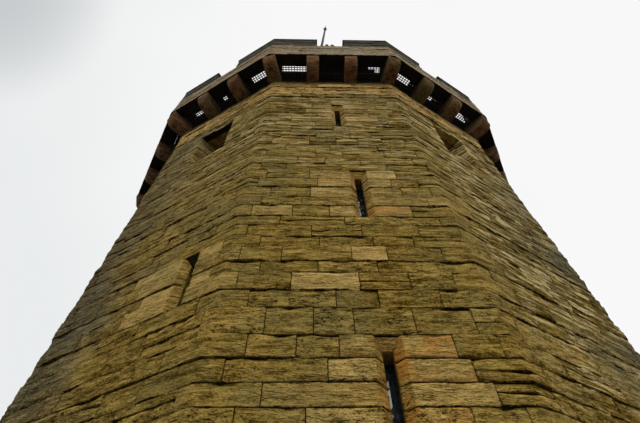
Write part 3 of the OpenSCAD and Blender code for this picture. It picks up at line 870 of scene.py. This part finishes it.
# Behind the corbels the head of the wall, the flags and the parapet's underside are black with damp
# and soot and with painted shade. The iron gratings and the boards that lie over some of the holes
# are black too.
sooty_shaded_stone = stone_material("sooty shaded sandstone", Soot=0.95, **wall_colours)
dress(sooty_shaded_stone, "wall_head")
iron = bpy.data.materials.new("dull iron")
iron.use_nodes = True
iron_shader = iron.node_tree.nodes["Principled BSDF"]
iron_shader.inputs["Base Color"].default_value = (0.02, 0.02, 0.02, 1)
iron_shader.inputs["Roughness"].default_value = 0.7
iron_shader.inputs["Metallic"].default_value = 0.6
dress(iron, "front_gratings", "right_gratings", "back_gratings", "left_gratings", "crenel_pole")
oak = stone_material("old oak", Light=(0.07, 0.05, 0.03, 1), Dark=(0.02, 0.014, 0.009, 1))
dress(oak, "hole_boards", "first_floor_beams", "first_floor_boards", "second_floor_beams",
      "second_floor_boards", "third_floor_beams", "third_floor_boards", "roof_beams")

# The loops and windows are closed by small leaded panes, set far back in the throat. Each pane
# leans its own way, so only some catch the sky.
quarry = 0.062
came = 0.16
pane_flatness = 0.7
pane_lean = 0.15
glass_colour = (0.012, 0.016, 0.016, 1)
lead_colour = (0.03, 0.03, 0.032, 1)


def leaded_glass():
    """Dark old glass in a diagonal lattice of lead."""
    material = bpy.data.materials.new("leaded panes")
    material.use_nodes = True
    wire = Wiring(material.node_tree)
    shader = wire.tree.nodes["Principled BSDF"].inputs
    place = wire.add("ShaderNodeGroup", node_tree=face_place).outputs
    up = wire.times(place["Up"], pane_flatness)
    spots = [wire.math("DIVIDE", wire.math(kind, place["Right"], up), quarry)
             for kind in ("ADD", "SUBTRACT")]
    lead = wire.most(*[wire.math("LESS_THAN", wire.math("FRACT", spot), came) for spot in spots])
    cells = wire.add("ShaderNodeCombineXYZ", {i: wire.math("FLOOR", spot)
                                              for i, spot in enumerate(spots)})
    tilt = wire.add("ShaderNodeTexWhiteNoise", {"Vector": cells.outputs[0]}).outputs
    centre = wire.add("ShaderNodeVectorMath", {
        0: tilt["Color"], 1: (2 * pane_lean,) * 3, 2: (-pane_lean,) * 3}, operation="MULTIPLY_ADD")
    normal = wire.add("ShaderNodeNewGeometry").outputs["Normal"]
    lean = wire.add("ShaderNodeVectorMath", {0: normal, 1: centre.outputs[0]}, operation="ADD")
    straight = wire.add("ShaderNodeVectorMath", {0: lean.outputs[0]}, operation="NORMALIZE")
    for label, value in {
        "Normal": straight.outputs[0],
        "Base Color": wire.mix(lead, glass_colour, lead_colour),
        "Roughness": wire.plus(0.08, wire.times(lead, 0.6)),
        "Coat Weight": wire.ramp(tilt["Value"], 0.6, 1.0, kind="LINEAR"),
        "Coat IOR": 2.2,
        "Specular IOR Level": 0.05,
    }.items():
        wire.give(shader[label], value)
    return material


dress(leaded_glass(), "loop_glass", "window_glass")

# The parapet is a course of slabs that lie on the corbels, and a breast wall of greyer, smoother
# stone on it, coursed up to the crenel sills. The doorway's surround is of the same stone.
lip_low, lip_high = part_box("parapet_lip")
sill_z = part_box("crenel_sills")[0].z
parapet_r = -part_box("parapet_wall")[0].y
parapet_short = 0.45
parapet_long = 1.2
parapet_out = 0.018
slab_short = 0.9
slab_long = 1.6
slab_out = 0.008
smooth_faces = {"Layer depth": 0.005, "Hollow depth": 0.006, "Cavity depth": 0.008}
parapet_colours = dict(Light=(0.410, 0.310, 0.185, 1), Dark=(0.120, 0.086, 0.045, 1),
                       Fresh=(0.60, 0.46, 0.28, 1), Rust=(0.36, 0.17, 0.07, 1),
                       Lichen=(0.25, 0.23, 0.15, 1), Rust_share=0.8)
parapet_stone = stone_material("parapet sandstone", **parapet_colours)
parapet_core = stone_material("parapet core", Soot=0.3, **parapet_colours)
dress(parapet_core, "parapet_wall", "crenel_sills", "door_surround")
dress(sooty_shaded_stone, "parapet_lip")
parapet_rng = random.Random(21)
for label, radius, marks, short, long, out in (
    ("lip", -lip_low.y, [lip_low.z, lip_high.z], slab_short, slab_long, slab_out),
    ("parapet", parapet_r, [lip_high.z, sill_z], parapet_short, parapet_long, parapet_out),
):
    lines = course_lines(marks, parapet_rng)
    laid = lay_stones(radius, lines, no_gaps, parapet_rng, short, long, out=out)
    for face, stones in enumerate(laid):
        piece = weather(stones.make(face_names[face] + "_" + label + "_stones"), parapet_stone,
                        **smooth_faces)
        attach(piece, "root")

# The merlons stand on the sills, bent around the tower's corners, with a crenel between every
# two. They are of the parapet's stone, but weather has blackened them. Dark slabs cope them, and
# two worn stones lie on the front sill.
coping_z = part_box("merlon_copings")[0].z
crenel_w = 0.82
merlon_stone = stone_material(
    "merlon sandstone", Light=(0.095, 0.085, 0.060, 1), Dark=(0.030, 0.027, 0.020, 1),
    Fresh=(0.14, 0.12, 0.08, 1), Rust=(0.10, 0.06, 0.03, 1), Lichen=(0.07, 0.07, 0.05, 1))


def crenel_gaps(z):
    """The crenel in the middle of each face, the same at every height."""
    return {face: (0, crenel_w, crenel_w, 0) for face in range(sides)}


merlon_lines = course_lines([sill_z, coping_z], parapet_rng)
laid = lay_stones(parapet_r, merlon_lines, crenel_gaps, parapet_rng, parapet_short, parapet_long,
                  out=parapet_out)
for face, stones in enumerate(laid):
    piece = weather(stones.make(face_names[face] + "_merlon_stones"), merlon_stone, **smooth_faces)
    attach(piece, "root")
dress(merlon_stone, "merlons")
coping_stone = stone_material(
    "coping stone", Light=(0.05, 0.045, 0.033, 1), Dark=(0.012, 0.010, 0.008, 1),
    Fresh=(0.06, 0.055, 0.04, 1), Rust=(0.05, 0.03, 0.02, 1), Lichen=(0.04, 0.04, 0.03, 1))
dress(coping_stone, "merlon_copings", "sill_stones")

# The ground floor, the roof and the wall-walk are paved with worn flags, with open joints. The
# undersides of the walk's flags, which show through its holes, are painted black with soot and
# painted shade.
flag_l = 0.95
flag_w = flag_l * 0.7
flag_joint_w = 0.014
flag_joint_colour = (0.12, 0.12, 0.10, 1)
underside_shade_colour = (0.012, 0.010, 0.008, 1)


def flag_material(name, underside_soot_and_shade=0.0):
    """Worn paving flags with open joints, painted black on their undersides with soot and shade."""
    material = stone_material(
        name, bump=0.02, Light=(0.26, 0.235, 0.17, 1), Dark=(0.12, 0.105, 0.075, 1),
        Fresh=(0.30, 0.27, 0.20, 1), Rust=(0.22, 0.17, 0.10, 1), Lichen=(0.13, 0.125, 0.09, 1))
    wire, group, shader = stone_parts(material)
    pattern = wire.add("ShaderNodeTexBrick", {
        "Vector": wire.add("ShaderNodeTexCoord").outputs["Object"], "Scale": 1.0,
        "Brick Width": flag_l, "Row Height": flag_w, "Mortar Size": flag_joint_w,
        "Mortar Smooth": 0.3, "Color1": (0.70, 0.70, 0.70, 1), "Color2": (1, 1, 1, 1),
        "Mortar": flag_joint_colour})
    colour = wire.mix(1.0, group.outputs["Color"], pattern.outputs["Color"], "MULTIPLY")
    normal = wire.split(wire.add("ShaderNodeNewGeometry").outputs["True Normal"])
    under = wire.ramp(normal["Z"], 0.3, -0.3, to_high=underside_soot_and_shade, kind="LINEAR")
    wire.give(shader["Base Color"], wire.mix(under, colour, underside_shade_colour))
    return material


dress(flag_material("flags"), "ground_paving", "roof_flags")
dress(flag_material("wall-walk flags", 0.9), "wall_walk")
